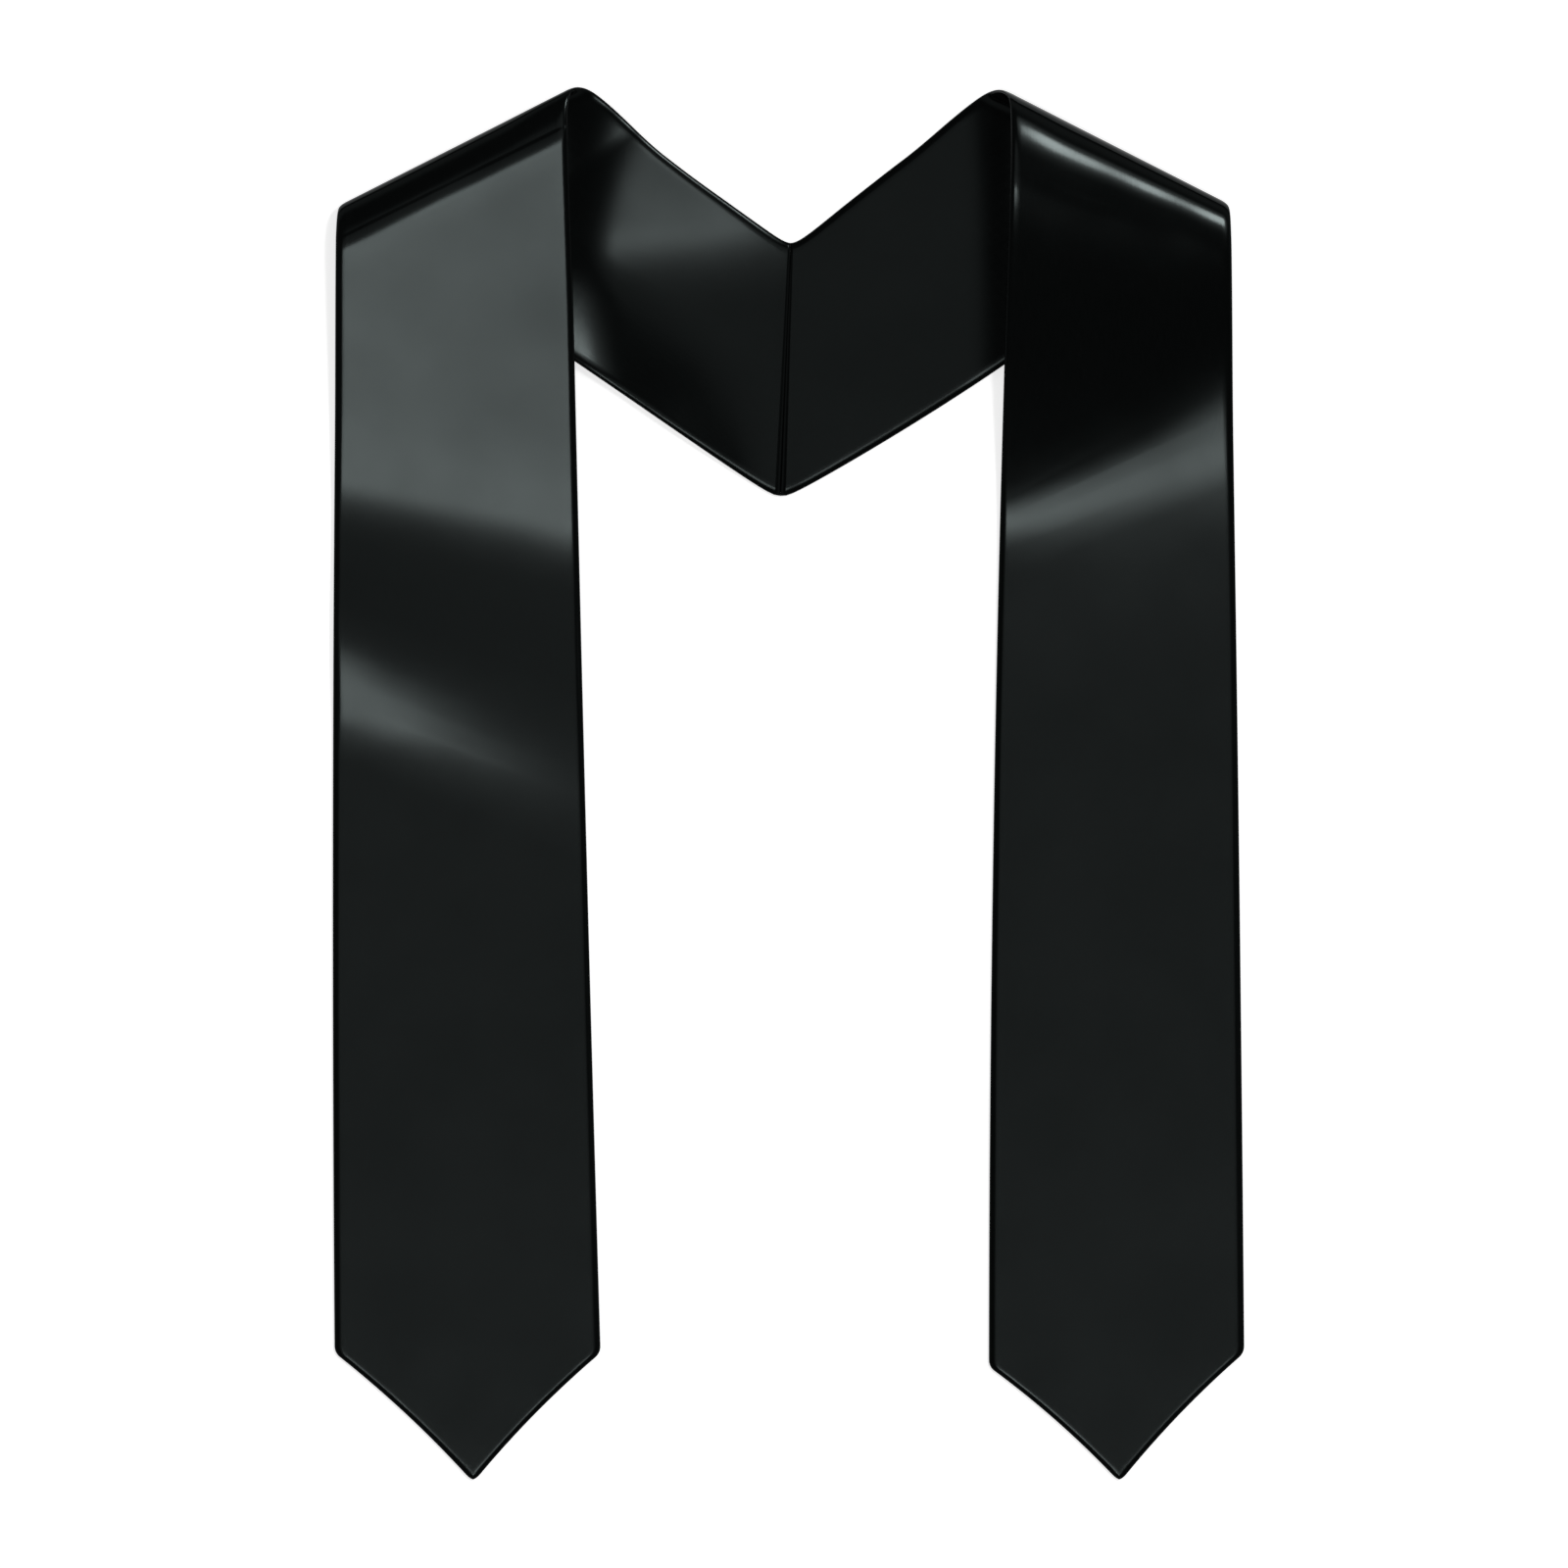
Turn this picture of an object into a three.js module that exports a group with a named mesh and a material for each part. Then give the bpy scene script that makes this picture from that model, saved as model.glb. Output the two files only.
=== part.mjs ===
import * as THREE from "three";

// A satin graduation stole laid out on a flat surface with its face side up. The two halves meet
// in a mitred seam at the centre back. Each half climbs outwards along the back, rolls over softly
// at the shoulder and runs down the front to a pointed end. Each half is two cloth layers, a face
// and a lining: the face is outside on the roll, so the lining shows at the back of the neck.
// Millimetres, +Z up from the surface, +Y towards the neck, +X to the right as it is looked at.

// Driving dimensions
const CLOTH = 1.0; // wall of one cloth layer
const SEAM_GAP = 0.3; // between face and lining, and between the halves at the centre back
const CENTRE_BACK_WIDTH = 91; // across the strap at the centre back seam
const SHOULDER_WIDTH = 103; // across the strap at the shoulder fold
const END_WIDTH = 118; // across the strap where the point begins
const BACK_LENGTH = 175.5; // seam to shoulder fold, along the middle of the strap
const FRONT_LENGTH = 592; // shoulder fold to the tip of the point, straight down
const POINT_LENGTH = 56; // corners to tip
const TIP_WIDTH = 3; // blunt end of the point
const FRONT_GAP = 82; // from the seam line out to the inner corner of the left end
const ROLL_DEPTH = 7.5; // how far the shoulder roll bulges past the last flat line of the back
const ROLL_RISE = 15; // height of the front strap over the back strap at the roll
const BACK_ANGLE = 35.8; // climb of the back part outwards, in degrees
const FOLD_ANGLE = 26.8; // drop of the shoulder fold outwards, in degrees

// Divisions of the surfaces
const WIDTH_STEPS = 6;
const BACK_STEPS = 5;
const ROLL_STEPS = 12;
const ROW_STEPS = 3;
const POINT_STEPS = 3;

// How the front of each half drapes, from the roll to the corners of the end. inner and outer are
// how far down that edge the row lies, as a share of the edge. innerLift and outerLift are how high
// the cloth stands there, as a share of the rise of the roll. The left strap comes down in one even
// slope and has one low wave below it. The right one drops faster and then levels out.
const LEFT_DRAPE = [
  { inner: 0.0, outer: 0.0, innerLift: 1.0, outerLift: 1.0 },
  { inner: 0.04, outer: 0.03, innerLift: 0.95, outerLift: 0.95 },
  { inner: 0.14, outer: 0.11, innerLift: 0.7, outerLift: 0.65 },
  { inner: 0.24, outer: 0.18, innerLift: 0.42, outerLift: 0.35 },
  { inner: 0.31, outer: 0.23, innerLift: 0.18, outerLift: 0.12 },
  { inner: 0.36, outer: 0.27, innerLift: 0.05, outerLift: 0.05 },
  { inner: 0.4, outer: 0.31, innerLift: 0.03, outerLift: 0.12 },
  { inner: 0.46, outer: 0.36, innerLift: 0.08, outerLift: 0.24 },
  { inner: 0.52, outer: 0.43, innerLift: 0.05, outerLift: 0.14 },
  { inner: 0.58, outer: 0.51, innerLift: 0.0, outerLift: 0.01 },
  { inner: 0.66, outer: 0.62, innerLift: 0.0, outerLift: 0.0 },
  { inner: 0.82, outer: 0.81, innerLift: 0.0, outerLift: 0.0 },
  { inner: 1.0, outer: 1.0, innerLift: 0.0, outerLift: 0.0 },
];
const RIGHT_DRAPE = [
  { inner: 0.0, outer: 0.0, innerLift: 1.0, outerLift: 1.0 },
  { inner: 0.03, outer: 0.03, innerLift: 0.92, outerLift: 0.88 },
  { inner: 0.11, outer: 0.09, innerLift: 0.64, outerLift: 0.56 },
  { inner: 0.21, outer: 0.15, innerLift: 0.36, outerLift: 0.26 },
  { inner: 0.3, outer: 0.2, innerLift: 0.17, outerLift: 0.12 },
  { inner: 0.36, outer: 0.27, innerLift: 0.05, outerLift: 0.03 },
  { inner: 0.43, outer: 0.35, innerLift: 0.0, outerLift: 0.0 },
  { inner: 0.6, outer: 0.55, innerLift: 0.0, outerLift: 0.0 },
  { inner: 0.8, outer: 0.78, innerLift: 0.0, outerLift: 0.0 },
  { inner: 1.0, outer: 1.0, innerLift: 0.0, outerLift: 0.0 },
];

// What differs between the halves. shoulderWidth, endWidth and frontGap are shares of the sizes of
// those names, rises and depth are shares of ROLL_RISE and ROLL_DEPTH, lowerBow (how far the lower
// edge of the back sags out of straight) and cornerDrop (how far the inner corner lies below the
// outer one) are shares of CENTRE_BACK_WIDTH and POINT_LENGTH, and tip is where the point lies
// across the end.
const HALVES = [
  {
    name: "left",
    side: -1,
    shoulderWidth: 1.0,
    endWidth: 1.0,
    frontGap: 1.0,
    depth: 1.0,
    innerRise: 1.0,
    outerRise: 1.0,
    lowerBow: 0.0,
    cornerDrop: 0.0,
    tip: 0.48,
    drape: LEFT_DRAPE,
  },
  {
    name: "right",
    side: 1,
    shoulderWidth: 0.955,
    endWidth: 0.96,
    frontGap: 1.1,
    depth: 0.95,
    innerRise: 1.45,
    outerRise: 1.12,
    lowerBow: 0.07,
    cornerDrop: 0.11,
    tip: 0.51,
    drape: RIGHT_DRAPE,
  },
];

const FACE_LOOK = { color: 0x16191a, roughness: 0.36, metalness: 0.0 };
const LINING_LOOK = { color: 0x14171a, roughness: 0.4, metalness: 0.0 };

// Sizes that follow from the driving ones
const STACK = 2 * CLOTH + SEAM_GAP; // both layers and the space between them
const MIDDLE = STACK / 2; // height of the middle of the stack where it lies on the surface
const backAngle = THREE.MathUtils.degToRad(BACK_ANGLE);
const foldAngle = THREE.MathUtils.degToRad(FOLD_ANGLE);
const seamLength = CENTRE_BACK_WIDTH / Math.cos(backAngle);
const foldAxis = new THREE.Vector2(Math.cos(foldAngle), -Math.sin(foldAngle));
const foldNormal = new THREE.Vector2(Math.sin(foldAngle), Math.cos(foldAngle));

// The plan of a half is worked out with x outwards from the seam and y up from the lower end of
// the seam, and mirrored for the left half at the end.
const seamMiddle = new THREE.Vector2(0, seamLength / 2);
const foldMiddle = new THREE.Vector2(Math.cos(backAngle), Math.sin(backAngle))
  .multiplyScalar(BACK_LENGTH)
  .add(seamMiddle);

// Where the line from start at an angle crosses the line through a point along the fold.
function crossing(start, angle, through) {
  const direction = new THREE.Vector2(Math.cos(angle), Math.sin(angle));
  const reach = through.clone().sub(start).dot(foldNormal) / direction.dot(foldNormal);
  return direction.multiplyScalar(reach).add(start);
}

// How far an edge that meets the fold at an angle drifts along the fold for each millimetre that it
// goes round the roll, as a strip that stays flat would.
function drift(angle) {
  return Math.tan(Math.PI / 2 - foldAngle - angle);
}

// A smooth value between the rows of a table that doesn't overshoot them. level gives the curve a
// flat start.
function between(rows, column, place, level) {
  const last = rows.length - 1;
  const step = (i) => rows[i + 1][column] - rows[i][column];
  const slope = (i) => {
    if (i === 0) return level ? 0 : step(0);
    if (i === last) return step(last - 1);
    const [before, after] = [step(i - 1), step(i)];
    return before * after > 0 ? (2 * before * after) / (before + after) : 0;
  };
  const row = Math.min(Math.floor(place), last - 1);
  const t = place - row;
  const rise = step(row);
  const [startSlope, endSlope] = [slope(row), slope(row + 1)];
  const bend = startSlope + endSlope - 2 * rise;
  const turn = 3 * rise - 2 * startSlope - endSlope;
  return rows[row][column] + t * (startSlope + t * (turn + t * bend));
}

function section(inner, innerHeight, outer, outerHeight) {
  return {
    inner: new THREE.Vector3(inner.x, inner.y, MIDDLE + innerHeight),
    outer: new THREE.Vector3(outer.x, outer.y, MIDDLE + outerHeight),
  };
}

// The flat back part, from the seam to the line where the roll begins.
function backSections(half, innerStart, outerStart) {
  const seamTop = new THREE.Vector2(SEAM_GAP / 2, seamLength);
  const seamBottom = new THREE.Vector2(SEAM_GAP / 2, 0);
  const bow = half.lowerBow * CENTRE_BACK_WIDTH;
  return Array.from({ length: BACK_STEPS }, (_, i) => {
    const t = i / BACK_STEPS;
    const outer = seamBottom.clone().lerp(outerStart, t);
    outer.y -= bow * 4 * t * (1 - t);
    return section(seamTop.clone().lerp(innerStart, t), 0, outer, 0);
  });
}

// The half turn over the shoulder. Both edges drift outwards along the fold as they go round.
function rollPoint(start, turn, depth, rise, edgeAngle) {
  const arc = Math.PI * Math.hypot(depth, rise / 2) * Math.SQRT1_2;
  return start
    .clone()
    .addScaledVector(foldNormal, depth * Math.sin(turn))
    .addScaledVector(foldAxis, (drift(edgeAngle) * arc * turn) / Math.PI);
}

function halfSections(half) {
  const depth = half.depth * ROLL_DEPTH;
  const innerRise = half.innerRise * ROLL_RISE;
  const outerRise = half.outerRise * ROLL_RISE;
  const widening = half.shoulderWidth * SHOULDER_WIDTH - CENTRE_BACK_WIDTH;
  const taper = Math.atan(widening / 2 / BACK_LENGTH);
  const innerAngle = backAngle + taper;
  const outerAngle = backAngle - taper;
  const rollLine = foldMiddle.clone().addScaledVector(foldNormal, -depth - MIDDLE);
  const innerStart = crossing(new THREE.Vector2(0, seamLength), innerAngle, rollLine);
  const outerStart = crossing(new THREE.Vector2(0, 0), outerAngle, rollLine);

  const sections = backSections(half, innerStart, outerStart);
  for (let i = 0; i <= ROLL_STEPS; i++) {
    const turn = (Math.PI * i) / ROLL_STEPS;
    const share = (1 - Math.cos(turn)) / 2;
    sections.push(
      section(
        rollPoint(innerStart, turn, depth, innerRise, innerAngle),
        share * innerRise,
        rollPoint(outerStart, turn, depth, outerRise, outerAngle),
        share * outerRise,
      ),
    );
  }

  // The front runs straight down from the end of the roll to the corners of the pointed end.
  const innerTop = rollPoint(innerStart, Math.PI, depth, innerRise, innerAngle);
  const outerTop = rollPoint(outerStart, Math.PI, depth, outerRise, outerAngle);
  const tipLevel = foldMiddle.y - FRONT_LENGTH;
  const gap = half.frontGap * FRONT_GAP;
  const width = half.endWidth * END_WIDTH;
  const drop = half.cornerDrop * POINT_LENGTH;
  const innerCorner = new THREE.Vector2(gap, tipLevel + POINT_LENGTH - drop);
  const outerCorner = new THREE.Vector2(gap + width, tipLevel + POINT_LENGTH);
  const rows = half.drape;
  for (let i = 1; i <= (rows.length - 1) * ROW_STEPS; i++) {
    const place = i / ROW_STEPS;
    sections.push(
      section(
        innerTop.clone().lerp(innerCorner, between(rows, "inner", place, false)),
        between(rows, "innerLift", place, true) * innerRise,
        outerTop.clone().lerp(outerCorner, between(rows, "outer", place, false)),
        between(rows, "outerLift", place, true) * outerRise,
      ),
    );
  }

  const tip = new THREE.Vector2(gap + half.tip * width, tipLevel);
  const tipInner = tip.clone().setX(tip.x - TIP_WIDTH / 2);
  const tipOuter = tip.clone().setX(tip.x + TIP_WIDTH / 2);
  for (let i = 1; i <= POINT_STEPS; i++) {
    const t = i / POINT_STEPS;
    sections.push(
      section(innerCorner.clone().lerp(tipInner, t), 0, outerCorner.clone().lerp(tipOuter, t), 0),
    );
  }
  return sections;
}

// The middle surface of a half as a grid: a row for each section, a column for each step across,
// with the direction that the face side looks in at each point.
function middleSurface(half) {
  const grid = halfSections(half).map(({ inner, outer }) =>
    Array.from({ length: WIDTH_STEPS + 1 }, (_, j) => {
      const point = inner.clone().lerp(outer, j / WIDTH_STEPS);
      point.x *= half.side;
      return point;
    }),
  );
  const lastRow = grid.length - 1;
  const normals = grid.map((row, i) =>
    row.map((_, j) => {
      const along = grid[Math.min(i + 1, lastRow)][j].clone();
      along.sub(grid[Math.max(i - 1, 0)][j]);
      const across = grid[i][Math.min(j + 1, WIDTH_STEPS)].clone();
      across.sub(grid[i][Math.max(j - 1, 0)]);
      return along.cross(across).normalize().multiplyScalar(half.side);
    }),
  );
  return { grid, normals };
}

// One closed layer of cloth between two distances from the middle surface.
function clothLayer({ grid, normals }, half, near, far) {
  const columns = WIDTH_STEPS + 1;
  const rows = grid.length;
  const positions = [];
  for (const distance of [far, near])
    grid.forEach((row, i) =>
      row.forEach((point, j) => {
        const moved = point.clone().addScaledVector(normals[i][j], distance);
        positions.push(moved.x, moved.y, moved.z);
      }),
    );
  const top = (i, j) => i * columns + j;
  const bottom = (i, j) => rows * columns + top(i, j);
  const triangles = [];
  const quad = (a, b, c, d) => triangles.push([a, b, c], [a, c, d]);
  for (let i = 0; i < rows - 1; i++) {
    for (let j = 0; j < WIDTH_STEPS; j++) {
      quad(top(i, j), top(i + 1, j), top(i + 1, j + 1), top(i, j + 1));
      quad(bottom(i, j), bottom(i, j + 1), bottom(i + 1, j + 1), bottom(i + 1, j));
    }
    quad(top(i, 0), bottom(i, 0), bottom(i + 1, 0), top(i + 1, 0));
    quad(
      top(i, WIDTH_STEPS),
      top(i + 1, WIDTH_STEPS),
      bottom(i + 1, WIDTH_STEPS),
      bottom(i, WIDTH_STEPS),
    );
  }
  for (let j = 0; j < WIDTH_STEPS; j++) {
    quad(top(0, j), top(0, j + 1), bottom(0, j + 1), bottom(0, j));
    quad(top(rows - 1, j), bottom(rows - 1, j), bottom(rows - 1, j + 1), top(rows - 1, j + 1));
  }
  const facing = half.side > 0 ? triangles : triangles.map(([a, b, c]) => [a, c, b]);
  const geometry = new THREE.BufferGeometry();
  geometry.setAttribute("position", new THREE.Float32BufferAttribute(positions, 3));
  geometry.setIndex(facing.flat());
  geometry.computeVertexNormals();
  return geometry;
}

function layerMesh(name, geometry, look) {
  const mesh = new THREE.Mesh(geometry, new THREE.MeshStandardMaterial(look));
  mesh.name = name;
  return mesh;
}

const stole = new THREE.Group();
stole.name = "graduation_stole";
for (const half of HALVES) {
  const surface = middleSurface(half);
  const face = clothLayer(surface, half, SEAM_GAP / 2, MIDDLE);
  const lining = clothLayer(surface, half, -MIDDLE, -SEAM_GAP / 2);
  stole.add(layerMesh(half.name + "_face", face, FACE_LOOK));
  stole.add(layerMesh(half.name + "_lining", lining, LINING_LOOK));
}

// The origin is the middle of the stole's outline, on the surface that it lies on.
const bounds = new THREE.Box3().setFromObject(stole);
const centre = bounds.getCenter(new THREE.Vector3());
stole.position.set(-centre.x, -centre.y, -bounds.min.z);

export default stole;
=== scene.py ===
"""A black satin graduation stole laid out flat in an M, seen from straight above.

Each half is one long strap of two cloth layers. It climbs outwards from the mitred seam at the
centre back, rolls over softly at the shoulder and runs down the front to a pointed end. Every
layer starts as a flat strip of cloth and is then laid into its place. Sizes are in millimetres
until a mesh is finished.
"""

import math

import bmesh
import bpy
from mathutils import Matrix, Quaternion, Vector, noise


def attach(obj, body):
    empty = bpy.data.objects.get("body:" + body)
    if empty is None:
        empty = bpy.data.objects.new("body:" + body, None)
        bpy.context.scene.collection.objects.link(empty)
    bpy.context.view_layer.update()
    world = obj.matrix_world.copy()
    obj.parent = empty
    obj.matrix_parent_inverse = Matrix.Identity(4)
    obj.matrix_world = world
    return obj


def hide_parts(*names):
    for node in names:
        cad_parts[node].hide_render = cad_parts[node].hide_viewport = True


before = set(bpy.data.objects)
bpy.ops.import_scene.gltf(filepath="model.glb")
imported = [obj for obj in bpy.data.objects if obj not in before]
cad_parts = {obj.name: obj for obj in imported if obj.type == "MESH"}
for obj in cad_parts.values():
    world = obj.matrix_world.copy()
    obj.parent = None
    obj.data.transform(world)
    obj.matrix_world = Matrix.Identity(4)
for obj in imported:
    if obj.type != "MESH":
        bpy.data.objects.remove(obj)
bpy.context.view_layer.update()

MM = 0.001

# The camera. The stole is seen from straight above. The lens is long, so that every part of it is
# seen at nearly the same angle.
FRAME_WIDTH = 0.69552
FRAME_CENTRE = (-0.0024, 0.0)
CAMERA_HEIGHT = 20.0
SENSOR = 36.0

camera_data = bpy.data.cameras.new("camera")
camera_data.sensor_width = SENSOR
camera_data.lens = SENSOR * CAMERA_HEIGHT / FRAME_WIDTH
camera_data.clip_start = 0.1
camera_data.clip_end = 90.0
camera = bpy.data.objects.new("camera", camera_data)
camera.location = (*FRAME_CENTRE, CAMERA_HEIGHT)
bpy.context.scene.collection.objects.link(camera)
bpy.context.scene.camera = camera
bpy.context.scene.view_settings.view_transform = "Standard"

# Sizes of the stole.

CLOTH = 1.0  # one cloth layer with its interlining, in the middle of the strap
SEAM_GAP = 0.3  # between face and lining
SEAM_HALF_GAP = 0.01  # from the centre seam to each half
CENTRE_BACK_WIDTH = 91.0
SHOULDER_WIDTH = 103.0
END_WIDTH = 118.0
BACK_LENGTH = 175.5
FRONT_LENGTH = 592.0
POINT_LENGTH = 56.0
FRONT_GAP = 82.0
BACK_ANGLE = math.radians(35.8)
FOLD_ANGLE = math.radians(26.8)

SEAM_X = -1.74  # where the centre seam and the point of the V lie in the frame
V_POINT_Y = 124.9

EDGE_ROUNDING = 3.6  # width of the soft rounding along the pressed edges
EDGE_CLOTH = 0.07  # what is left of a layer's thickness right at the seamed edge
SEAM_RIDGE = 0.1  # height of the ridge over the seam allowances at the centre back
SEAM_RIDGE_WIDTH = 3.0
SEAM_SWELL = 0.3  # the cloth rises broadly towards that ridge
SEAM_CREST = 0.7  # the allowances are pressed to the right, so the ridge is right of the seam
SEAM_SLANT = 2.3  # the seam leans: its neck end lies this far right of its middle
NOTCH_ROUNDING = 4.0  # softens the V's notch and its point
CORNER_ROUNDING = 3.2  # straight edge used up by each rounded corner of the end
TIP_HALF_WIDTH = 3.4
FOLD_BULGE = 0.9  # how far the rolls swell beyond the fold lines
NECK_LIFT = 7.2  # how far the back would rise across its whole width
LIFT_FADE = 0.19  # share of the width over which that rise fades
ROLL_WAVE = 0.18  # unevenness along the crest of each roll

MIDDLE = CLOTH + SEAM_GAP / 2
SEAM_LENGTH = CENTRE_BACK_WIDTH / math.cos(BACK_ANGLE)
FOLD_AXIS = Vector((math.cos(FOLD_ANGLE), -math.sin(FOLD_ANGLE)))
FOLD_NORMAL = Vector((math.sin(FOLD_ANGLE), math.cos(FOLD_ANGLE)))
BACK_AXIS = Vector((math.cos(BACK_ANGLE), math.sin(BACK_ANGLE)))
BACK_ACROSS = Vector((-math.sin(BACK_ANGLE), math.cos(BACK_ANGLE)))
SEAM_MIDDLE = Vector((0.0, SEAM_LENGTH / 2))
FOLD_MIDDLE = SEAM_MIDDLE + BACK_AXIS * BACK_LENGTH

COLUMNS = 34
BACK_ROWS = 44
ROLL_ROWS = 32
FRONT_ROWS = 190
CORNER_ROWS = 8
POINT_ROWS = 22
TIP_ROWS = 8
BACK_CROWDING = 1.12  # rows of the back lie closer together near the seam
EDGE_CROWDING = 0.145  # columns lie closer together near both edges
ARC_STEPS = 24  # for the length of cloth round a roll
STRIP_CLOTH = 0.1  # thickness of the flat strip before it is laid, in its own units

# Shares of the back, from the seam to the roll, over which its small bends begin or end.
NOTCH_FADE = (0.3, 0.5)
FLARE_RISE = (0.62, 1.0)
SHIFT_RISE = (0.0, 0.3)
SLANT_FADE = (0.0, 0.6)
LOWER_LIFT_RISE = (0.0, 0.3)
LOWER_LIFT_FADE = (0.5, 0.95)
LIFT_TRAVEL = 0.8  # where the line that the neck lift starts from comes to rest
LOWER_LIFT_EDGE = 0.56  # share of the width where the lift of the lower edge begins
LOWER_LIFT_POWER = 1.5

CREST_SHIFT_FADE = (0.0, 90.0)  # millimetres down the front
TIP_FLATNESS = 0.7  # height of the round tip for its half width
TIP_GAP = 0.05  # between the last points of both edges

# No cloth lies perfectly flat. Lengths of the waves across and along the strap, and heights.
BROAD_WAVE = (70, 95)
BROAD_HEIGHT = 0.22
FINE_WAVE = (26, 34)
FINE_HEIGHT = 0.05
FINE_SEED = 9
CREST_WAVE = 24
CREST_SEED = 2.0
SWELL_REACH = 14
PUCKER_HEIGHT = 0.03
PUCKER_RATE = 0.42
PUCKER_RISE = (4, 9)
SEAM_FLATNESS = (0, 30)  # millimetres beside the seam in which the waves begin

# Rows of the front, counted from the roll, over which a form begins or ends.
FRONT_WAVE_RISE = (0, 24)
CREST_WAVE_FADE = (0, 40)
BAND_RISE = (10, 60)
BAND_FADE = (74, 148)

PULL_FROM = 60  # height over the V's point where the pull towards the roll begins
PULL_REACH = 115  # the pull is fully grown this much higher up
PULL_FADE = (94, 128)  # millimetres out from the seam

# How each front drapes: distance down from the roll along the inner and the outer edge in
# millimetres, and how steeply the cloth goes down there in degrees. The slopes are evened out so
# that the cloth comes down from the roll to the surface.
LEFT_DRAPE = (
    # inner, outer, inner slope, outer slope
    (0, 0, 0.0, 0.0),
    (2, 2, 1.4, 1.4),
    (6, 6, 3.0, 3.0),
    (11, 11, 4.2, 4.2),
    (18, 18, 4.9, 4.9),
    (94, 56, 4.8, 4.8),
    (140, 84, 4.5, 4.5),
    (178, 106, 4.0, 4.0),
    (196, 122, 1.7, 1.7),
    (210, 134, 0.2, -0.6),
    (229, 148, -0.2, -1.8),
    (250, 162, -0.3, -1.6),
    (264, 172, 0.1, 0.4),
    (278, 183, 0.5, 2.6),
    (290, 194, 0.9, 3.6),
    (301, 206, 1.0, 4.1),
    (313, 216, 0.6, 2.4),
    (330, 231, 0.0, 0.4),
    (376, 276, 0.0, 0.0),
    (516, 496, 0.0, 0.0),
)
RIGHT_DRAPE = (
    (0, 0, 0.0, 0.0),
    (4, 3, 1.6, 2.0),
    (10, 7, 4.0, 4.6),
    (20, 13, 6.6, 7.4),
    (36, 21, 9.2, 9.8),
    (56, 29, 10.4, 10.6),
    (98, 36, 10.2, 10.2),
    (126, 44, 9.0, 8.8),
    (141, 52, 7.4, 7.3),
    (149, 60, 6.2, 6.2),
    (153, 67, 5.0, 5.3),
    (157, 74, 3.9, 4.6),
    (163, 83, 2.9, 4.1),
    (172, 94, 1.6, 3.4),
    (184, 107, 0.9, 2.3),
    (210, 129, 0.5, 1.3),
    (260, 180, 0.2, 0.4),
    (300, 250, 0.0, 0.0),
    (504, 488, 0.0, 0.0),
)

# How each half lies. Lengths are in millimetres.
# shoulder, end, gap: widths of the strap and of the gap at the front, as shares of the sizes
# depth, top_depth, rise, top_form: how far the roll reaches out from where it begins, how far back
#     its top goes, how high it is, and how flat its top is
# lower_bow, inner_bow, outer_bow, point_bow: how far the edges bend from straight lines
# neck_shift, neck_flare: how far the neck edge moves up at the seam and outwards at the roll
# corner_drop, tip: how much lower the inner corner of the end is, and where its point is
# lift_reach, lower_lift: shares of the width in which the back rises to the neck, and how far its
#     lower edge rises
# pull_start, pull_bend, pull: where the back curves up to the roll, and how much, low and high up
# band_swell: how far the middle of the strap swells up over the steep part
# top_shift, outer_shift: how far the crest is shifted outwards at the inner and the outer edge
HALVES = (
    {
        "name": "left",
        "side": -1,
        "shoulder": 1.0,
        "end": 1.0,
        "gap": 1.0,
        "inner_depth": 7.5,
        "outer_depth": 7.5,
        "inner_top_depth": 11.8,
        "outer_top_depth": 10.8,
        "top_form": 2.2,
        "inner_rise": 16.0,
        "outer_rise": 10.2,
        "lower_bow": 0.0,
        "neck_shift": 0.0,
        "neck_flare": 3.2,
        "inner_bow": 0.6,
        "outer_bow": 1.3,
        "corner_drop": 0.0,
        "tip": 0.48,
        "point_bow": 1.6,
        "lift_reach": (0.0, 0.76),
        "lower_lift": 3.0,
        "pull_start": 71.0,
        "pull_bend": 18.0,
        "pull": (0.0036, 0.0025),
        "band_swell": 0.0,
        "outer_shift": 0.5,
        "top_shift": 0.9,
        "drape": LEFT_DRAPE,
        "seed": 3.0,
    },
    {
        "name": "right",
        "side": 1,
        "shoulder": 0.955,
        "end": 0.96,
        "gap": 1.1,
        "inner_depth": 11.0,
        "outer_depth": 8.0,
        "inner_top_depth": 27.4,
        "outer_top_depth": 14.4,
        "top_form": 3.0,
        "inner_rise": 25.0,
        "outer_rise": 14.2,
        "lower_bow": 6.0,
        "neck_shift": 0.5,
        "neck_flare": 1.9,
        "inner_bow": -2.3,
        "outer_bow": 0.6,
        "corner_drop": 6.2,
        "tip": 0.51,
        "point_bow": 1.6,
        "lift_reach": (-0.1, -0.5),
        "lower_lift": 0.0,
        "pull_start": 78.0,
        "pull_bend": 5.0,
        "pull": (0.0038, 0.0038),
        "band_swell": 0.5,
        "outer_shift": 0.6,
        "top_shift": 0.0,
        "drape": RIGHT_DRAPE,
        "seed": 41.0,
    },
)

# The drape.


def smooth(low, high, value):
    """0 below low, 1 above high and an even S between them."""
    t = min(max((value - low) / (high - low), 0.0), 1.0)
    return t * t * (3 - 2 * t)


def arch(share):
    """0 at both ends and 1 in the middle."""
    return 4 * share * (1 - share)


def crossing(start, angle, through):
    """Where the line from start at an angle crosses the line through a point along the fold."""
    direction = Vector((math.cos(angle), math.sin(angle)))
    reach = (through - start).dot(FOLD_NORMAL) / direction.dot(FOLD_NORMAL)
    return start + direction * reach


def table_value(rows, column, place):
    """The smooth value at a place between the rows of a table."""
    row = min(int(place), len(rows) - 2)
    t = place - row
    return rows[row][column] + (rows[row + 1][column] - rows[row][column]) * t


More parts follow.
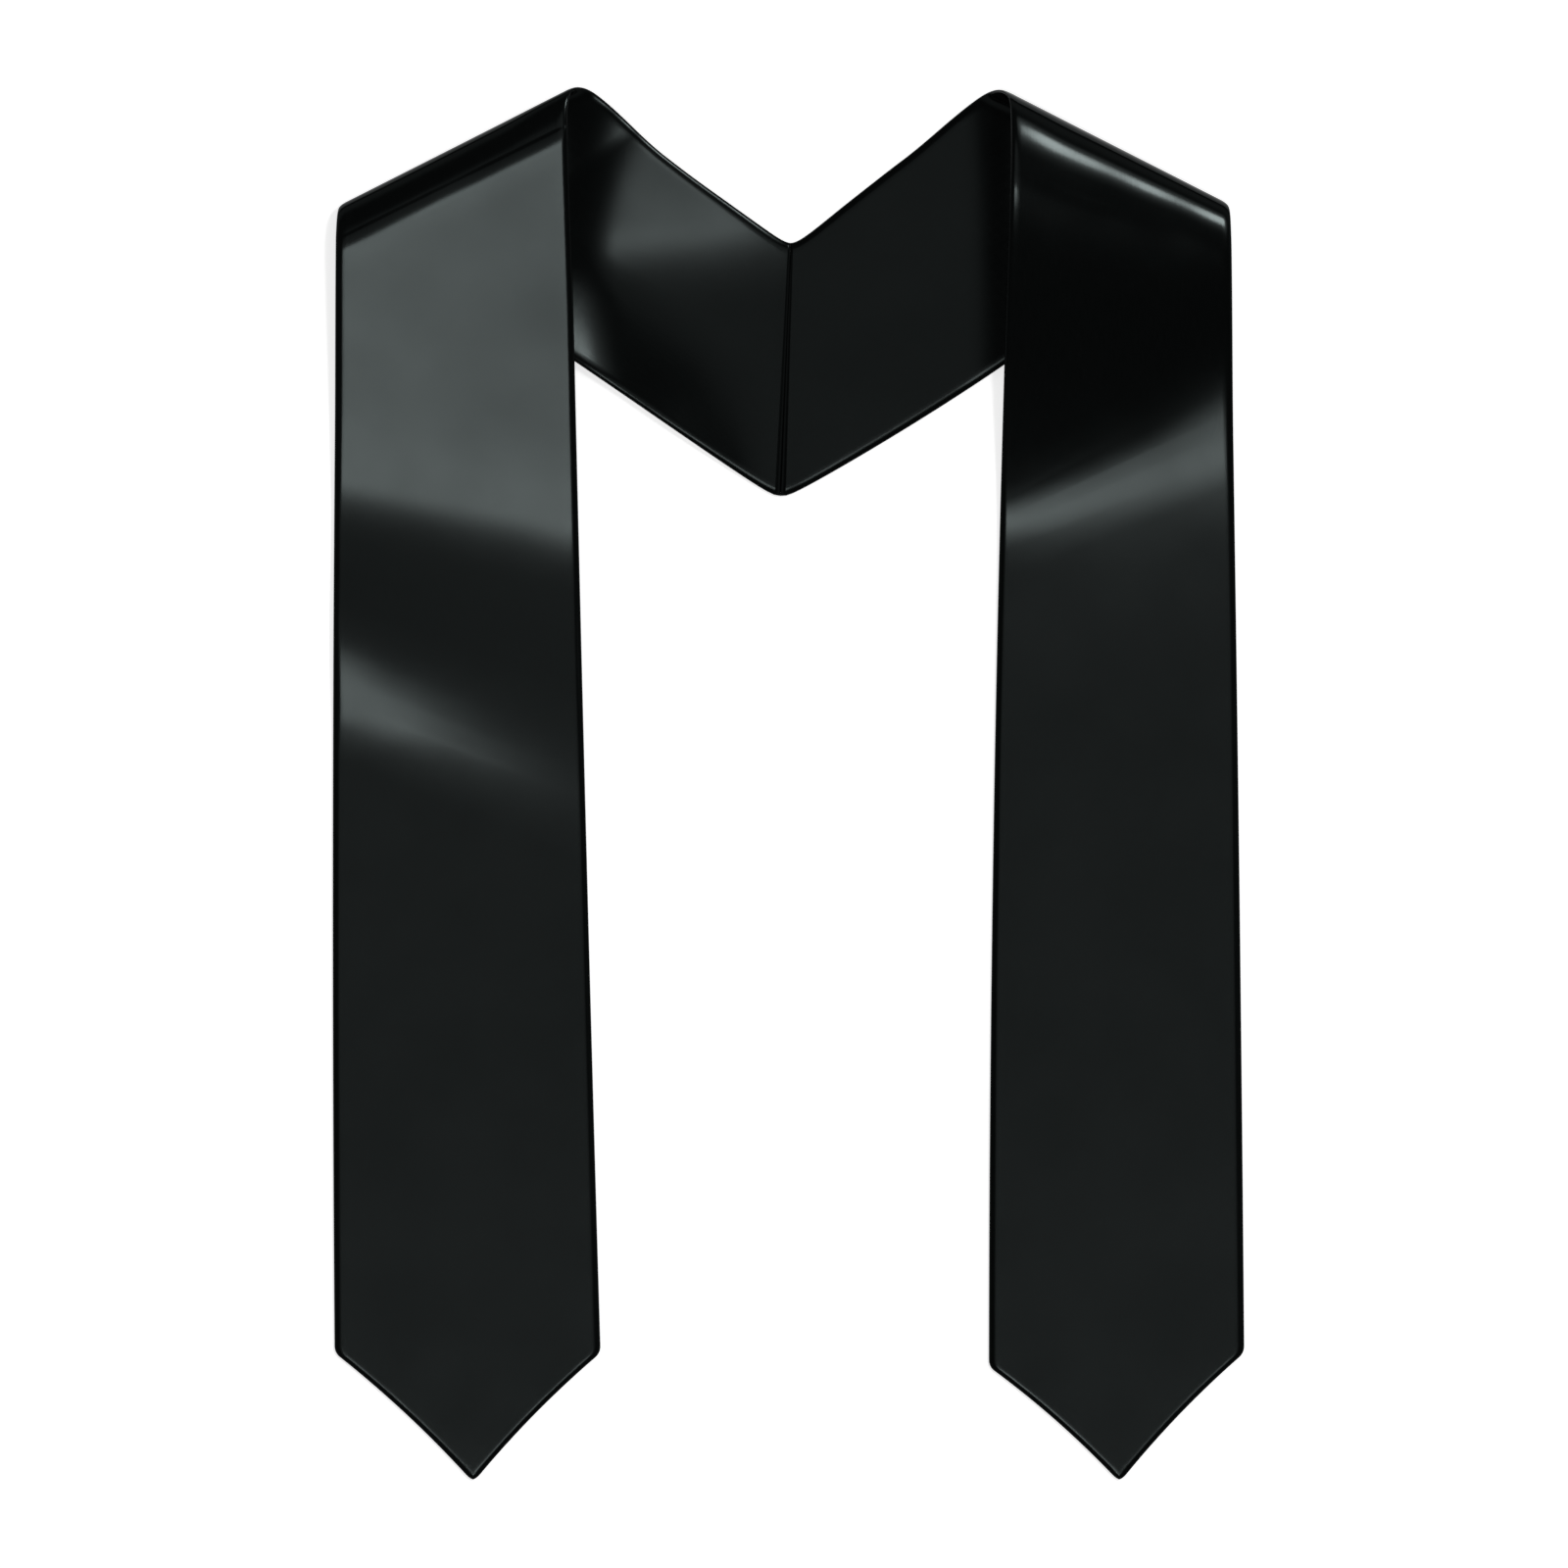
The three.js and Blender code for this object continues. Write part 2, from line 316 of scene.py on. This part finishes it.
def heights(rows, distance_column, slope_column, rise, length, count):
    """Distance down an edge and the height there, for evenly spaced places in a drape table."""
    last = len(rows) - 1
    places = [last * i / count for i in range(count + 1)]
    downs = [table_value(rows, distance_column, place) for place in places]
    drops = [0.0]
    for i in range(count):
        slope = table_value(rows, slope_column, (places[i] + places[i + 1]) / 2)
        step = downs[i + 1] - downs[i]
        drops.append(drops[-1] + step * math.tan(math.radians(slope)))
    even = rise / drops[-1]
    far = rows[-2][distance_column]
    downs = [d if d < far else far + (d - far) * (length - far) / (rows[-1][distance_column] - far)
             for d in downs]
    return [(down, max(rise - drop * even, 0.0)) for down, drop in zip(downs, drops)]


def roll_profile(half, side, turn):
    """How far out and how high the cloth is on its way round the roll. It turns up tightly behind
    the fold line and lies flatter over the top."""
    depth, rise = half[side + "_depth"], half[side + "_rise"]
    if turn <= math.pi / 2:
        return depth * math.sin(turn), rise * (1 - math.cos(turn)) / 2
    power = 2 / half["top_form"]
    back = 1 - max(math.sin(turn), 0.0) ** power
    height = rise * (1 + max(-math.cos(turn), 0.0) ** power) / 2
    return depth - half[side + "_top_depth"] * back, height


def half_rows(half):
    """The rows across one half. Each is inner point, outer point (x outwards from the seam, y up
    from the V's point, z up) and the same two points on the cloth before it was folded."""
    widening = half["shoulder"] * SHOULDER_WIDTH - CENTRE_BACK_WIDTH
    taper = math.atan(widening / 2 / BACK_LENGTH)
    inner_angle, outer_angle = BACK_ANGLE + taper, BACK_ANGLE - taper
    inner_line = FOLD_MIDDLE - FOLD_NORMAL * (half["inner_depth"] + MIDDLE - FOLD_BULGE)
    outer_line = FOLD_MIDDLE - FOLD_NORMAL * (half["outer_depth"] + MIDDLE - FOLD_BULGE)
    inner_start = crossing(Vector((0, SEAM_LENGTH)), inner_angle, inner_line)
    outer_start = crossing(Vector((0, 0)), outer_angle, outer_line)

    rows = []
    seam_top = Vector((SEAM_HALF_GAP, SEAM_LENGTH))
    seam_bottom = Vector((SEAM_HALF_GAP, 0.0))
    climb = math.tan(BACK_ANGLE)
    for i in range(BACK_ROWS):
        t = (i / BACK_ROWS) ** BACK_CROWDING
        inner = seam_top.lerp(inner_start, t)
        outer = seam_bottom.lerp(outer_start, t)
        inner_round = climb * (math.hypot(inner.x, NOTCH_ROUNDING) - inner.x)
        outer_round = climb * (math.hypot(outer.x, NOTCH_ROUNDING) - outer.x)
        inner.y += inner_round * (1 - smooth(*NOTCH_FADE, t))
        outer.y += outer_round * (1 - smooth(*NOTCH_FADE, t))
        outer.y -= half["lower_bow"] * arch(t)
        inner -= FOLD_AXIS * half["neck_flare"] * smooth(*FLARE_RISE, t)
        inner.y += half["neck_shift"] * smooth(*SHIFT_RISE, t)
        slant = SEAM_SLANT * half["side"] * (1 - smooth(*SLANT_FADE, t))
        inner.x += slant
        outer.x -= slant
        rows.append((inner.to_3d(), outer.to_3d(), inner.copy(), outer.copy()))

    flat_tops = []
    for i in range(ROLL_ROWS + 1):
        turn = math.pi * i / ROLL_ROWS
        points, flats = [], []
        for side, start, angle, flare, shift in (
            ("inner", inner_start, inner_angle, half["neck_flare"], half["top_shift"]),
            ("outer", outer_start, outer_angle, 0.0, half["outer_shift"]),
        ):
            out, height = roll_profile(half, side, turn)
            steps = [roll_profile(half, side, turn * k / ARC_STEPS) for k in range(ARC_STEPS + 1)]
            arc = sum(math.dist(a, b) for a, b in zip(steps, steps[1:]))
            drift = math.tan(math.pi / 2 - FOLD_ANGLE - angle) * arc
            keep = 1 - smooth(0.0, math.pi, turn)
            along = FOLD_AXIS * (drift - flare * keep + shift * (1 - keep))
            point = start + FOLD_NORMAL * out + along
            if flare:
                point.y += half["neck_shift"] * keep
            points.append(Vector((point.x, point.y, height)))
            flats.append(start + FOLD_NORMAL * arc + along)
        rows.append((*points, *flats))
        flat_tops = flats

    inner_top, outer_top = (p.to_2d() for p in rows[-1][:2])
    inner_top -= FOLD_AXIS * half["top_shift"]
    outer_top -= FOLD_AXIS * half["outer_shift"]
    tip_level = FOLD_MIDDLE.y - FRONT_LENGTH
    gap = half["gap"] * FRONT_GAP
    width = half["end"] * END_WIDTH
    inner_corner = Vector((gap, tip_level + POINT_LENGTH - half["corner_drop"]))
    outer_corner = Vector((gap + width, tip_level + POINT_LENGTH))
    tip = Vector((gap + half["tip"] * width, tip_level))

    def unfold(point, top, flat_top):
        offset = point - top
        return flat_top + FOLD_AXIS * offset.dot(FOLD_AXIS) - FOLD_NORMAL * offset.dot(FOLD_NORMAL)

    def add(inner, inner_height, outer, outer_height):
        rows.append((
            Vector((inner.x, inner.y, inner_height)),
            Vector((outer.x, outer.y, outer_height)),
            unfold(inner, inner_top, flat_tops[0]),
            unfold(outer, outer_top, flat_tops[1]),
        ))

    edges = []
    for top, corner, columns, side, shift in (
        (inner_top, inner_corner, (0, 2), "inner", half["top_shift"]),
        (outer_top, outer_corner, (1, 3), "outer", half["outer_shift"]),
    ):
        length = (corner - top).length
        rise, bow = half[side + "_rise"], half[side + "_bow"]
        reach = length - CORNER_ROUNDING
        edge = []
        for down, height in heights(half["drape"], *columns, rise, reach, FRONT_ROWS):
            share = down / length
            point = top.lerp(corner, share)
            point.x += bow * arch(share)
            point += FOLD_AXIS * shift * (1 - smooth(*CREST_SHIFT_FADE, down))
            edge.append((point, height))
        edges.append(edge)
    for (inner, inner_height), (outer, outer_height) in list(zip(*edges))[1:]:
        add(inner, inner_height, outer, outer_height)

    # The pointed end: a rounded corner, a side that bends in a little, and a round tip.
    sides = []
    for (start, _), corner, sign in (
        (edges[0][-1], inner_corner, -1),
        (edges[1][-1], outer_corner, 1),
    ):
        end = tip + Vector((sign * TIP_HALF_WIDTH, TIP_HALF_WIDTH * TIP_FLATNESS))
        inwards = (end - corner).normalized()
        inwards = Vector((-inwards.y, inwards.x)) * -sign
        length = (end - corner).length
        begin = CORNER_ROUNDING / length

        def side_point(t):
            return corner.lerp(end, t) + inwards * half["point_bow"] * arch(t)

        side = []
        for i in range(1, CORNER_ROWS + 1):
            u = i / CORNER_ROWS
            side.append(start.lerp(corner, u).lerp(corner.lerp(side_point(begin), u), u))
        for i in range(1, POINT_ROWS + 1):
            side.append(side_point(begin + (1 - begin) * i / POINT_ROWS))
        last = side[-1].copy()
        slope = (side[-2] - last) / (side[-2].y - last.y)
        turning = Vector((last.x - slope.x * (last.y - tip.y), tip.y))
        finish = Vector((tip.x + sign * TIP_GAP, tip.y))
        for i in range(1, TIP_ROWS + 1):
            u = i / TIP_ROWS
            side.append(last.lerp(turning, u).lerp(turning.lerp(finish, u), u))
        sides.append(side)
    for inner, outer in zip(*sides):
        add(inner, 0.0, outer, 0.0)
    return rows


def edge_share(j):
    """Columns crowd towards both edges, where the cloth rounds off."""
    t = j / COLUMNS
    return t - math.sin(2 * math.pi * t) * EDGE_CROWDING


def middle_surface(half):
    """Points of the surface between face and lining, with the direction that the face looks in,
    the distance to the nearest edge and the place on the flat cloth, for a grid of the half."""
    rows = half_rows(half)
    grid = []
    for i, (inner, outer, inner_flat, outer_flat) in enumerate(rows):
        width = (outer - inner).length
        line = []
        for j in range(COLUMNS + 1):
            c = edge_share(j)
            flat = inner_flat.lerp(outer_flat, c)
            along = (flat - SEAM_MIDDLE).dot(BACK_AXIS)
            across = (flat - SEAM_MIDDLE).dot(BACK_ACROSS)
            point = inner.lerp(outer, c)
            point.z += MIDDLE + unevenness(half, i, point, along, across, c)
            line.append([point, None, width * min(c, 1 - c), (across, along)])
        grid.append(line)
    last = len(grid) - 1
    for i, line in enumerate(grid):
        for j, cell in enumerate(line):
            along = grid[min(i + 1, last)][j][0] - grid[max(i - 1, 0)][j][0]
            across = grid[i][min(j + 1, COLUMNS)][0] - grid[i][max(j - 1, 0)][0]
            cell[1] = along.cross(across).normalized()
    return grid


def crest_wave(half, across):
    """How uneven the crest of a roll is at a place across the strap."""
    return ROLL_WAVE * (1 + noise.noise(Vector((across / CREST_WAVE, half["seed"], CREST_SEED))))


def seam_form(half, x):
    """Height near the centre back seam: a ridge over the allowances, a broad swell and puckers."""
    aside = math.hypot(x * half["side"] - SEAM_CREST, SEAM_CREST)
    ridge = SEAM_RIDGE * math.exp(-aside / SEAM_RIDGE_WIDTH)
    fading = math.exp(-x / SWELL_REACH)
    pucker = PUCKER_HEIGHT * (1 + math.cos(x * PUCKER_RATE)) * fading * smooth(*PUCKER_RISE, x)
    return ridge + SEAM_SWELL * fading + pucker


def unevenness(half, row, point, along, across, c):
    """Height that the cloth has beyond its plain drape: the back lifts towards the roll, and no
    cloth lies perfectly flat."""
    seed = half["seed"]
    broad = noise.noise(Vector((across / BROAD_WAVE[0], along / BROAD_WAVE[1], seed)))
    fine = noise.noise(Vector((across / FINE_WAVE[0], along / FINE_WAVE[1], seed + FINE_SEED)))
    lying = BROAD_HEIGHT * (1 + broad) + FINE_HEIGHT * (1 + fine)
    rolled = row - BACK_ROWS
    if rolled < 0:
        t = (row / BACK_ROWS) ** BACK_CROWDING
        lift = neck_lift(half, t, c) + lower_lift(half, t, c)
        lying *= smooth(*SEAM_FLATNESS, point.x)
        return lying + lift + seam_form(half, point.x) + roll_pull(half, point)
    if rolled <= ROLL_ROWS:
        keep = 1 - smooth(0, ROLL_ROWS, rolled)
        lift = neck_lift(half, 1.0, c) + roll_pull(half, point)
        return (lying + lift) * keep + crest_wave(half, across) * (1 - keep)
    front = rolled - ROLL_ROWS
    waviness = crest_wave(half, across) * (1 - smooth(*CREST_WAVE_FADE, front))
    band = smooth(*BAND_RISE, front) * (1 - smooth(*BAND_FADE, front))
    swell = half["band_swell"] * arch(c) * band
    return lying * smooth(*FRONT_WAVE_RISE, front) + waviness + swell


def lower_lift(half, t, c):
    """The lower edge of the back rises a little between the seam and the strap."""
    lift = half["lower_lift"] * smooth(*LOWER_LIFT_RISE, t) * (1 - smooth(*LOWER_LIFT_FADE, t))
    beyond = max(c - LOWER_LIFT_EDGE, 0.0) / (1 - LOWER_LIFT_EDGE)
    return lift * beyond**LOWER_LIFT_POWER


def neck_lift(half, t, c):
    """The back rises evenly towards its neck edge, from a line that moves down the back between
    the seam and the roll."""
    seam_reach, roll_reach = half["lift_reach"]
    reach = seam_reach + (roll_reach - seam_reach) * min(t / LIFT_TRAVEL, 1.0)
    turn = min(max((reach + LIFT_FADE - c) / (2 * LIFT_FADE), 0.0), 1.0)
    return NECK_LIFT * (max(reach - LIFT_FADE - c, 0.0) + LIFT_FADE * turn**2)


def roll_pull(half, point):
    """Beside the strap the back curves up towards the roll, and sinks again under the strap."""
    share = min(max(point.y - PULL_FROM, 0.0) / PULL_REACH, 1.0)
    beyond = max(point.x - half["pull_start"] + half["pull_bend"] * share**3, 0.0)
    low, high = half["pull"]
    climb = (low + (high - low) * share) * beyond**2
    return climb * (1 - smooth(*PULL_FADE, point.x))


def layer_object(half, kind, near, far):
    """One cloth layer between two distances from the middle surface, cut as a flat strip and
    then laid into its place."""
    surface = middle_surface(half)
    rows = len(surface) - 1
    bm = bmesh.new()
    bmesh.ops.create_grid(bm, x_segments=COLUMNS, y_segments=rows, size=0.5)
    bmesh.ops.solidify(bm, geom=bm.faces[:], thickness=STRIP_CLOTH)
    top_z = max(v.co.z for v in bm.verts)
    cloth_uv = bm.loops.layers.uv.new("cloth")
    for face in bm.faces:
        # The cut end in the centre seam meets the layer at a crisp corner.
        face.smooth = any(round((v.co.y + 0.5) * rows) > 0 for v in face.verts)
        for loop in face.loops:
            co = loop.vert.co
            i, j = round((co.y + 0.5) * rows), round((co.x + 0.5) * COLUMNS)
            across, along = surface[i][j][3]
            loop[cloth_uv].uv = (across * MM, along * MM)
    for vert in bm.verts:
        i, j = round((vert.co.y + 0.5) * rows), round((vert.co.x + 0.5) * COLUMNS)
        point, normal, from_edge, _ = surface[i][j]
        rounding = min(from_edge / EDGE_ROUNDING, 1.0)
        full = EDGE_CLOTH + (1 - EDGE_CLOTH) * math.sqrt(1 - (1 - rounding) ** 2)
        outside = abs(vert.co.z - top_z) < STRIP_CLOTH / 2
        distance = near + (far - near) * full if outside else near
        placed = point + normal * distance
        vert.co = (
            (SEAM_X + placed.x * half["side"]) * MM,
            (V_POINT_Y + placed.y) * MM,
            placed.z * MM,
        )
    bmesh.ops.recalc_face_normals(bm, faces=bm.faces[:])
    # A thin bent layer can come out of this inside out.
    if bm.calc_volume(signed=True) < 0:
        bmesh.ops.reverse_faces(bm, faces=bm.faces[:])
    mesh = bpy.data.meshes.new(half["name"] + "_" + kind + "_cloth")
    bm.to_mesh(mesh)
    bm.free()
    piece = bpy.data.objects.new(half["name"] + "_" + kind + "_cloth", mesh)
    bpy.context.scene.collection.objects.link(piece)
    return piece


# The finishes.


def linear(hex_colour):
    """sRGB hex to the linear colour that a shader wants."""
    channels = [int(hex_colour[i : i + 2], 16) / 255 for i in (1, 3, 5)]
    return (*(c / 12.92 if c <= 0.04045 else ((c + 0.055) / 1.055) ** 2.4 for c in channels), 1.0)


def node(tree, kind, settings=None, **links):
    """Adds a node. settings are its own properties or socket values, links are socket to socket."""
    made = tree.nodes.new(kind)
    for key, value in (settings or {}).items():
        if isinstance(key, str) and hasattr(made, key):
            setattr(made, key, value)
        else:
            made.inputs[key].default_value = value
    for key, socket in links.items():
        tree.links.new(socket, made.inputs[key.replace("_", " ")])
    return made


def satin(name, float_colour, thread_colour, roughness, gloss):
    """Polyester satin: long floats of filament yarn lie side by side along the strap, so the
    cloth is smooth and near black, with a soft mirror of whatever is bright above it."""
    material = bpy.data.materials.new(name)
    material.use_nodes = True
    tree = material.node_tree
    tree.nodes.clear()
    uv = node(tree, "ShaderNodeUVMap", {"uv_map": "cloth"})
    # Floats are about 0.15 mm wide and 2 mm long, too fine to show. They are drawn 0.7 mm wide.
    thread_place = node(
        tree, "ShaderNodeMapping", {"Scale": (1400.0, 120.0, 1.0)}, Vector=uv.outputs["UV"]
    )
    threads = node(
        tree, "ShaderNodeTexNoise", {"Scale": 1.0, "Detail": 2.0, "Roughness": 0.6},
        Vector=thread_place.outputs["Vector"],
    )
    # Slubs and the press of the iron vary over centimetres.
    press = node(
        tree, "ShaderNodeTexNoise", {"Scale": 28.0, "Detail": 3.0, "Roughness": 0.55},
        Vector=uv.outputs["UV"],
    )
    colour = node(tree, "ShaderNodeMix", {"data_type": "RGBA"})
    colour.inputs["A"].default_value = linear(float_colour)
    colour.inputs["B"].default_value = linear(thread_colour)
    tree.links.new(threads.outputs["Fac"], colour.inputs["Factor"])
    rough = node(
        tree, "ShaderNodeMapRange",
        {"From Min": 0.3, "From Max": 0.7,
         "To Min": roughness - 0.008, "To Max": roughness + 0.012},
        Value=press.outputs["Fac"],
    )
    # The floats stand up by hundredths of a millimetre, which softens the mirror a little.
    weave = node(
        tree, "ShaderNodeBump", {"Strength": 0.25, "Distance": 0.00002},
        Height=threads.outputs["Fac"],
    )
    # The tint gives the pale parts the slightly green blue of the photo.
    shader = node(
        tree, "ShaderNodeBsdfPrincipled",
        {"IOR": 1.5, "Specular IOR Level": gloss, "Specular Tint": (0.86, 1.0, 0.99, 1.0)},
        Base_Color=colour.outputs["Result"], Roughness=rough.outputs["Result"],
        Normal=weave.outputs["Normal"],
    )
    node(tree, "ShaderNodeOutputMaterial", Surface=shader.outputs["BSDF"])
    return material


FACE_SATIN = satin("black_polyester_satin_face", "#010202", "#090a0a", 0.13, 0.16)
LINING_SATIN = satin("black_polyester_satin_lining", "#010202", "#080909", 0.15, 0.13)

# The four layers of cloth.

# Each layer is cut from a flat strip and laid into its place in metres, and the part of the same
# name in model.glb is hidden.
for half in HALVES:
    for kind, near, far, finish in (
        ("face", SEAM_GAP / 2, MIDDLE, FACE_SATIN),
        ("lining", -SEAM_GAP / 2, -MIDDLE, LINING_SATIN),
    ):
        piece = layer_object(half, kind, near, far)
        piece.data.materials.append(finish)
        name = half["name"] + "_" + kind
        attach(piece, "root")
        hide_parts(name)

# The floor and the lights.

FLOOR_REACH = 30.0
FLOOR_DROP = 0.0001  # just under the stole
# The board shines a little by itself, which gives the pure white ground of the photo and keeps the
# shadows on it faint.
FLOOR_GLOW = 0.68

floor_mesh = bmesh.new()
bmesh.ops.create_grid(floor_mesh, x_segments=4, y_segments=4, size=FLOOR_REACH)
floor_data = bpy.data.meshes.new("floor")
floor_mesh.to_mesh(floor_data)
floor_mesh.free()
floor = bpy.data.objects.new("floor", floor_data)
floor.location = (0.0, 0.0, -FLOOR_DROP)
bpy.context.scene.collection.objects.link(floor)
paint = bpy.data.materials.new("matt_white_board")
paint.use_nodes = True
board = paint.node_tree.nodes["Principled BSDF"]
board.inputs["Base Color"].default_value = linear("#f2f2f2")
board.inputs["Roughness"].default_value = 0.9
board.inputs["Specular IOR Level"].default_value = 0.2
board.inputs["Emission Color"].default_value = linear("#ffffff")
board.inputs["Emission Strength"].default_value = FLOOR_GLOW
floor_data.materials.append(paint)


LIGHT_DISTANCE = 24.0


def softbox(name, across, ahead, turn, size, radiance, shape="RECTANGLE"):
    """A flat soft light that faces the stole. across and ahead are how far it leans from
    straight above, to the right and to the far side, and turn is clockwise, all in degrees."""
    data = bpy.data.lights.new(name, "AREA")
    data.shape = shape
    data.size, data.size_y = size
    area = size[0] * size[1] * (math.pi / 4 if shape == "ELLIPSE" else 1)
    data.energy = radiance * math.pi * area
    light = bpy.data.objects.new(name, data)
    place = leaning(across, ahead)
    light.location = place * LIGHT_DISTANCE
    light.rotation_mode = "QUATERNION"
    light.rotation_quaternion = (
        Vector((0, 0, 1)).rotation_difference(place) @ Quaternion((0, 0, 1), math.radians(-turn))
    )
    bpy.context.scene.collection.objects.link(light)
    return light


def leaning(across, ahead):
    """The direction that leans so many degrees to the right and to the far side."""
    lean = Vector((math.radians(across), math.radians(ahead)))
    polar = lean.length
    if not polar:
        return Vector((0.0, 0.0, 1.0))
    return Vector((*(lean / polar * math.sin(polar)), math.cos(polar)))


# The main light stands a little towards the pointed ends: cloth that slopes down towards them
# by a few degrees mirrors it, and flat or steeper cloth doesn't. It is brighter along its middle.
softbox("main_softbox", -0.5, -7.7, 0, (4.6, 2.3), 5.9)
softbox("main_softbox_middle", -0.5, -6.8, 0, (4.4, 0.9), 6.2)
# A second light far to the right is mirrored only over the top of the right roll, which falls
# outwards.
softbox("crest_softbox", 21.9, 15.8, 27, (2.5, 5.0), 34.0, "ELLIPSE")


def patch(tree, along, centre, full, none, value):
    """Light from all directions within a cone round a leaning centre, fading between two
    angles."""
    edge = node(
        tree, "ShaderNodeMapRange",
        {"interpolation_type": "SMOOTHSTEP", "From Min": math.cos(math.radians(none)),
         "From Max": math.cos(math.radians(full)), "To Min": 0.0, "To Max": value},
    )
    dot = node(tree, "ShaderNodeVectorMath", {"operation": "DOT_PRODUCT"})
    dot.inputs[1].default_value = leaning(*centre)
    tree.links.new(along, dot.inputs[0])
    tree.links.new(dot.outputs["Value"], edge.inputs["Value"])
    return edge.outputs["Result"]


def total(tree, *values):
    """The sum of some values."""
    result = values[0]
    for value in values[1:]:
        adding = node(tree, "ShaderNodeMath", {"operation": "ADD"})
        tree.links.new(result, adding.inputs[0])
        tree.links.new(value, adding.inputs[1])
        result = adding.outputs["Value"]
    return result


# The rest of the studio: a pale patch of ceiling round the camera that flat cloth mirrors, a glow
# round the second light, and a soft ring lower down on an otherwise dark room.
world = bpy.data.worlds.new("studio")
bpy.context.scene.world = world
world.use_nodes = True
sky = world.node_tree
sky.nodes.clear()
direction = node(sky, "ShaderNodeTexCoord").outputs["Generated"]
brightness = total(
    sky,
    patch(sky, direction, (0.0, -3.0), 8.0, 10.5, 0.7),
    patch(sky, direction, (22.0, 17.0), 4.0, 15.0, 2.0),
    patch(sky, direction, (0.0, 0.0), 72.0, 82.0, 0.45),
    patch(sky, direction, (0.0, 0.0), 36.0, 58.0, -0.33),
)
background = node(sky, "ShaderNodeBackground", Strength=brightness)
node(sky, "ShaderNodeOutputWorld", Surface=background.outputs["Background"])
